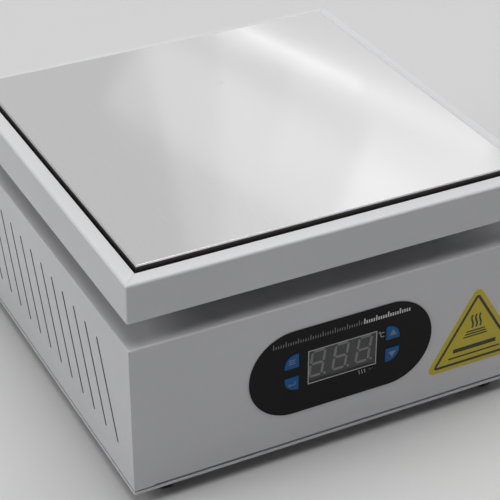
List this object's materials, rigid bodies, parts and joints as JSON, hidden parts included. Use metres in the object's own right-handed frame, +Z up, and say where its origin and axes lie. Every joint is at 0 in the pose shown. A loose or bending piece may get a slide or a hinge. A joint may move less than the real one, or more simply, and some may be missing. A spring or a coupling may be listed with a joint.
{
  "type": "constant-temperature heating platform",
  "caption": "Square bench-top heating platform: ground metal plate in a raised white frame over a slotted box with a dark control panel, display, blue keys and rear power inlet.",
  "frame": {"origin": "centre of the foot plane, on the surface that the object stands on", "axes": "+Z up, -Y towards the control panel, +Y towards the rear panel, +X to the right as seen from the front"},
  "size_m": [0.218, 0.2219, 0.126],
  "materials": {
    "plate_metal": "fine ground, reflective",
    "white_paint": "semi-gloss powder coat",
    "mica": "matt mica sheet",
    "ceramic_wool": "soft white felt",
    "bare_steel": "rolled sheet",
    "zinc_steel": "zinc-plated",
    "black_rubber": "matt rubber",
    "overlay_black": "satin polyester film",
    "smoke_window": "clear smoked film",
    "module_plastic": "matt moulded",
    "segment_grey": "unlit diffuser",
    "key_blue": "satin moulded",
    "red_lens": "clear red, unlit",
    "black_plastic": "moulded",
    "rocker_plastic": "polished moulded",
    "board_green": "solder mask",
    "brass": "turned or stamped",
    "capacitor_sleeve": "shrink sleeve",
    "terminal_green": "moulded",
    "sticker_yellow": "printed vinyl",
    "core_steel": "varnished laminations",
    "coil_tape": "polyester tape",
    "relay_grey": "moulded",
    "clear_glass": "clear tube",
    "cap_nickel": "nickel-plated",
    "wire_brown": "insulated wire",
    "wire_earth": "insulated wire",
    "wire_white": "glass-braid sleeve",
    "wire_grey": "braided sleeve",
    "wire_red": "insulated wire",
    "wire_blue": "insulated wire"
  },
  "bodies": {
    "housing": {"heating_plate": "plate_metal", "heater_element": "mica", "heater_clamp_plate": "bare_steel", "clamp_screws": "zinc_steel", "insulation_pad": "ceramic_wool", "top_frame": "white_paint", "heat_shield_tray": "bare_steel", "tray_screws": "zinc_steel", "plate_standoffs": "zinc_steel", "support_pillars": "zinc_steel", "pillar_bolts": "zinc_steel", "lead_conduit": "black_rubber", "thermal_cutout": "black_plastic", "temperature_probe": "bare_steel", "body_shell": "white_paint", "base_plate": "white_paint", "base_screws": "zinc_steel", "rubber_feet": "black_rubber", "foot_screws": "zinc_steel", "control_overlay": "overlay_black", "display_window": "smoke_window", "display_module": "module_plastic", "display_digits": "segment_grey", "key_switches": "black_plastic", "output_light": "red_lens", "control_board": "board_green", "board_standoffs": "brass", "board_screws": "zinc_steel", "control_chip": "black_plastic", "board_capacitors": "capacitor_sleeve", "board_terminals": "terminal_green", "warning_sticker": "sticker_yellow", "transformer_core": "core_steel", "transformer_coil": "coil_tape", "solid_state_relay": "relay_grey", "relay_screws": "zinc_steel", "terminal_block": "black_plastic", "terminal_screws": "brass", "earth_stud": "brass", "inlet_body": "black_plastic", "inlet_pins": "brass", "inlet_screws": "zinc_steel", "switch_housing": "black_plastic", "switch_terminals": "brass", "supply_wires": "wire_brown", "earth_wires": "wire_earth", "heater_leads": "wire_white", "sensor_lead": "wire_grey", "relay_wires": "wire_red", "board_wires": "wire_blue"},
    "menu_key": {"menu_key": "key_blue"},
    "set_key": {"set_key": "key_blue"},
    "up_key": {"up_key": "key_blue"},
    "down_key": {"down_key": "key_blue"},
    "rocker": {"power_rocker": "rocker_plastic"},
    "fuse_holder": {"fuse_drawer": "black_plastic", "fuse_tubes": "clear_glass", "fuse_caps": "cap_nickel"}
  },
  "joints": [
    {"name": "menu_key_press", "type": "slide", "parent": "housing", "child": "menu_key", "axis": [0, 1, 0], "range_m": [0, 0.0005], "stiffness_N_per_m": 2000, "springref_m": -0.0004},
    {"name": "set_key_press", "type": "slide", "parent": "housing", "child": "set_key", "axis": [0, 1, 0], "range_m": [0, 0.0005], "stiffness_N_per_m": 2000, "springref_m": -0.0004},
    {"name": "up_key_press", "type": "slide", "parent": "housing", "child": "up_key", "axis": [0, 1, 0], "range_m": [0, 0.0005], "stiffness_N_per_m": 2000, "springref_m": -0.0004},
    {"name": "down_key_press", "type": "slide", "parent": "housing", "child": "down_key", "axis": [0, 1, 0], "range_m": [0, 0.0005], "stiffness_N_per_m": 2000, "springref_m": -0.0004},
    {"name": "power_rocker_tilt", "type": "hinge", "parent": "housing", "child": "rocker", "pos_m": [0.01, 0.107, 0.048], "axis": [1, 0, 0], "range_deg": [0, 18]},
    {"name": "fuse_drawer_slide", "type": "slide", "parent": "housing", "child": "fuse_holder", "axis": [0, 1, 0], "range_m": [0, 0.022]}
  ]
}
